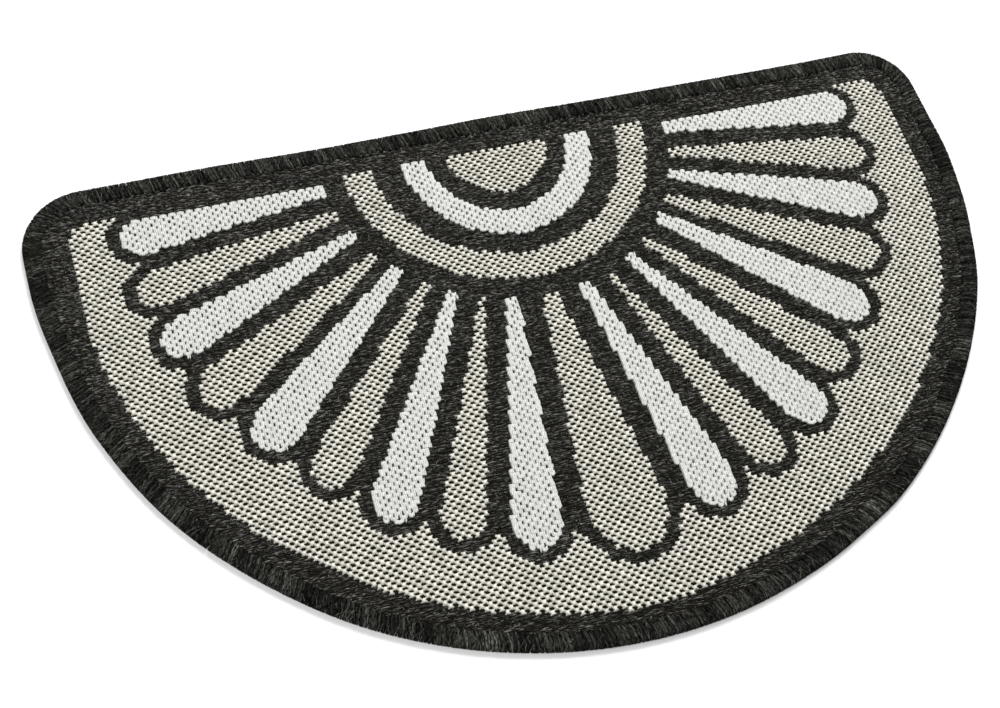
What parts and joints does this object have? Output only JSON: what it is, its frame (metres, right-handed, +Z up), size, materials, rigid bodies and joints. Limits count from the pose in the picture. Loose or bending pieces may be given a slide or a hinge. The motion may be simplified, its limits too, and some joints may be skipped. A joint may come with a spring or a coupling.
{
  "type": "half-round woven doormat",
  "caption": "Flat half-round doormat of machine-woven cloth with a black and cream flower fan and an overlocked black edge.",
  "frame": {"origin": "under the middle of the mat's bounding box, on the surface it lies on", "axes": "+X along the straight edge, +Y from the round side towards the straight edge, +Z up through the mat"},
  "size_m": [0.7486, 0.451, 0.0056],
  "materials": {
    "woven_cloth": "matt machine-woven cloth of cream, white and black polypropylene yarn",
    "overlock_yarn": "matt black spun yarn, overlocked"
  },
  "bodies": {
    "root": {"woven_mat": "woven_cloth", "edge_binding": "overlock_yarn"}
  },
  "joints": []
}
